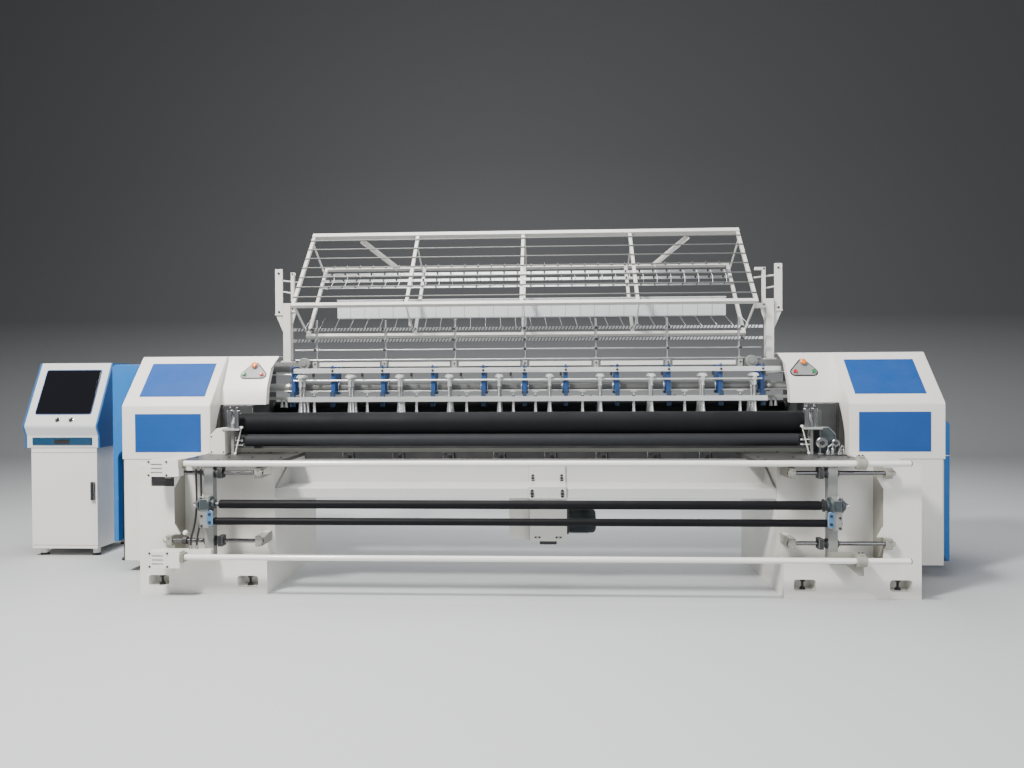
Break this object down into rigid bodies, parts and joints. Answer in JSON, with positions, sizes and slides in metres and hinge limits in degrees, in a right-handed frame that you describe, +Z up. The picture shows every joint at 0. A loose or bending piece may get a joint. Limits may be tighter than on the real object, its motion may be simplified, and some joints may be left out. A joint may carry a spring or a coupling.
{
  "type": "multi-needle quilting machine",
  "caption": "Wide quilting machine with covered end heads, a needle head between them, a sliding roller carriage, a leaning thread rack and a control cabinet.",
  "frame": {"origin": "on the floor, under the middle of the outline of the whole machine with its cabinet", "axes": "+X to the right as seen from the front, +Y from the front to the back, +Z up"},
  "size_m": [6.613, 1.8918, 2.4668],
  "materials": {
    "white_paint": "satin",
    "blue_paint": "satin",
    "light_blue_paint": "satin",
    "dark_paint": "matte",
    "grey_paint": "satin",
    "green_grey_paint": "satin",
    "black_rubber": "matte",
    "steel": "brushed",
    "chrome": "polished",
    "aluminium": "satin",
    "zinc": "satin",
    "clear_plastic": "satin",
    "motor_paint": "satin",
    "red_plastic": "gloss",
    "orange_plastic": "gloss",
    "green_plastic": "gloss",
    "black_plastic": "satin",
    "screen_plastic": "gloss",
    "teal_paint": "satin"
  },
  "bodies": {
    "machine": {"left_stand": "white_paint", "right_stand": "white_paint", "guide_shafts": "steel", "crossbeam": "white_paint", "splice_plate": "white_paint", "frame_bolts": "zinc", "gearbox": "white_paint", "drive_motor": "motor_paint", "left_lower_cover": "white_paint", "right_lower_cover": "white_paint", "left_upper_cover": "white_paint", "right_upper_cover": "white_paint", "side_casings": "light_blue_paint", "blue_panels": "blue_paint", "button_plates": "steel", "side_frames": "dark_paint", "head_beam": "grey_paint", "shaft_hangers": "blue_paint", "guide_bar": "aluminium", "bed_beam": "dark_paint", "needle_plate": "steel", "rack_rails": "aluminium", "rack_legs": "aluminium", "guide_rods": "chrome", "thread_clips": "aluminium", "thread_tray": "clear_plastic", "tension_bars": "aluminium", "rack_supports": "grey_paint", "cabinet_body": "white_paint", "console": "light_blue_paint", "console_screen": "screen_plastic"},
    "carriage": {"carriage_frame": "grey_paint", "feed_strip": "aluminium", "roller_housings": "dark_paint", "lift_drives": "white_paint", "front_tubes": "white_paint", "tube_brackets": "white_paint", "air_hoses": "black_rubber"},
    "upper_feed": {"upper_feed_roller": "black_rubber"},
    "lower_feed": {"lower_feed_roller": "black_rubber"},
    "upper_nip": {"upper_nip_roller": "black_rubber"},
    "lower_nip": {"lower_nip_roller": "black_rubber"},
    "main_shaft": {"main_shaft": "grey_paint"},
    "front_hooks": {"front_hook_shaft": "steel"},
    "rear_hooks": {"rear_hook_shaft": "steel"},
    "needle_frame": {"needle_rods": "chrome", "needles": "chrome"},
    "presser_frame": {"presser_rails": "aluminium", "presser_feet": "chrome", "presser_pins": "chrome"},
    "drawer": {"console_drawer": "teal_paint"},
    "door": {"cabinet_door": "white_paint"},
    "left_knob": {"left_knob": "green_plastic"},
    "right_knob": {"right_knob": "red_plastic"},
    "left_stop": {"left_stop_button": "orange_plastic"},
    "left_start": {"left_start_button": "red_plastic"},
    "left_jog": {"left_jog_button": "green_plastic"},
    "right_stop": {"right_stop_button": "orange_plastic"},
    "right_start": {"right_start_button": "green_plastic"},
    "right_jog": {"right_jog_button": "red_plastic"}
  },
  "joints": [
    {"name": "carriage_slide", "type": "slide", "parent": "machine", "child": "carriage", "axis": [1, 0, 0], "range_m": [-0.04, 0.11]},
    {"name": "upper_feed_spin", "type": "hinge", "parent": "carriage", "child": "upper_feed", "pos_m": [0.3815, -0.40588, 1.018], "axis": [1, 0, 0], "continuous": true},
    {"name": "lower_feed_spin", "type": "hinge", "parent": "carriage", "child": "lower_feed", "pos_m": [0.3815, -0.45188, 0.912], "axis": [1, 0, 0], "continuous": true},
    {"name": "upper_nip_spin", "type": "hinge", "parent": "carriage", "child": "upper_nip", "pos_m": [0.3815, -0.88888, 0.567], "axis": [1, 0, 0], "continuous": true},
    {"name": "lower_nip_spin", "type": "hinge", "parent": "carriage", "child": "lower_nip", "pos_m": [0.3815, -0.88888, 0.464], "axis": [1, 0, 0], "continuous": true},
    {"name": "main_shaft_spin", "type": "hinge", "parent": "machine", "child": "main_shaft", "pos_m": [0.4165, 0.12112, 1.248], "axis": [1, 0, 0], "continuous": true},
    {"name": "front_hook_spin", "type": "hinge", "parent": "machine", "child": "front_hooks", "pos_m": [0.4165, -0.02388, 0.965], "axis": [1, 0, 0], "continuous": true},
    {"name": "rear_hook_spin", "type": "hinge", "parent": "machine", "child": "rear_hooks", "pos_m": [0.4165, 0.05212, 0.965], "axis": [1, 0, 0], "continuous": true},
    {"name": "needle_stroke", "type": "slide", "parent": "machine", "child": "needle_frame", "axis": [0, 0, -1], "range_m": [0, 0.068]},
    {"name": "presser_stroke", "type": "slide", "parent": "machine", "child": "presser_frame", "axis": [0, 0, -1], "range_m": [0, 0.026]},
    {"name": "drawer_slide", "type": "slide", "parent": "machine", "child": "drawer", "axis": [0, -1, 0], "range_m": [0, 0.25]},
    {"name": "door_hinge", "type": "hinge", "parent": "machine", "child": "door", "pos_m": [-3.2585, 0.11412, 0.43], "axis": [0, 0, -1], "range_deg": [0, 105]},
    {"name": "left_knob_turn", "type": "hinge", "parent": "machine", "child": "left_knob", "pos_m": [-3.0505, 0.096, 1.01744], "axis": [0, -0.9087, 0.4175], "range_deg": [-135, 135]},
    {"name": "right_knob_turn", "type": "hinge", "parent": "machine", "child": "right_knob", "pos_m": [-2.9475, 0.096, 1.01744], "axis": [0, -0.9087, 0.4175], "range_deg": [-135, 135]},
    {"name": "left_stop_press", "type": "slide", "parent": "machine", "child": "left_stop", "axis": [0, 0.8615, -0.5078], "range_m": [0, 0.004], "stiffness_N_per_m": 400, "springref_m": -0.003},
    {"name": "left_start_press", "type": "slide", "parent": "machine", "child": "left_start", "axis": [0, 0.8615, -0.5078], "range_m": [0, 0.004], "stiffness_N_per_m": 400, "springref_m": -0.003},
    {"name": "left_jog_press", "type": "slide", "parent": "machine", "child": "left_jog", "axis": [0, 0.8615, -0.5078], "range_m": [0, 0.004], "stiffness_N_per_m": 400, "springref_m": -0.003},
    {"name": "right_stop_press", "type": "slide", "parent": "machine", "child": "right_stop", "axis": [0, 0.8615, -0.5078], "range_m": [0, 0.004], "stiffness_N_per_m": 400, "springref_m": -0.003},
    {"name": "right_start_press", "type": "slide", "parent": "machine", "child": "right_start", "axis": [0, 0.8615, -0.5078], "range_m": [0, 0.004], "stiffness_N_per_m": 400, "springref_m": -0.003},
    {"name": "right_jog_press", "type": "slide", "parent": "machine", "child": "right_jog", "axis": [0, 0.8615, -0.5078], "range_m": [0, 0.004], "stiffness_N_per_m": 400, "springref_m": -0.003}
  ],
  "couplings": [
    {"joint": "lower_feed_spin", "follows": "upper_feed_spin", "ratio": -1.85},
    {"joint": "front_hook_spin", "follows": "main_shaft_spin", "ratio": 2},
    {"joint": "rear_hook_spin", "follows": "main_shaft_spin", "ratio": 2}
  ]
}
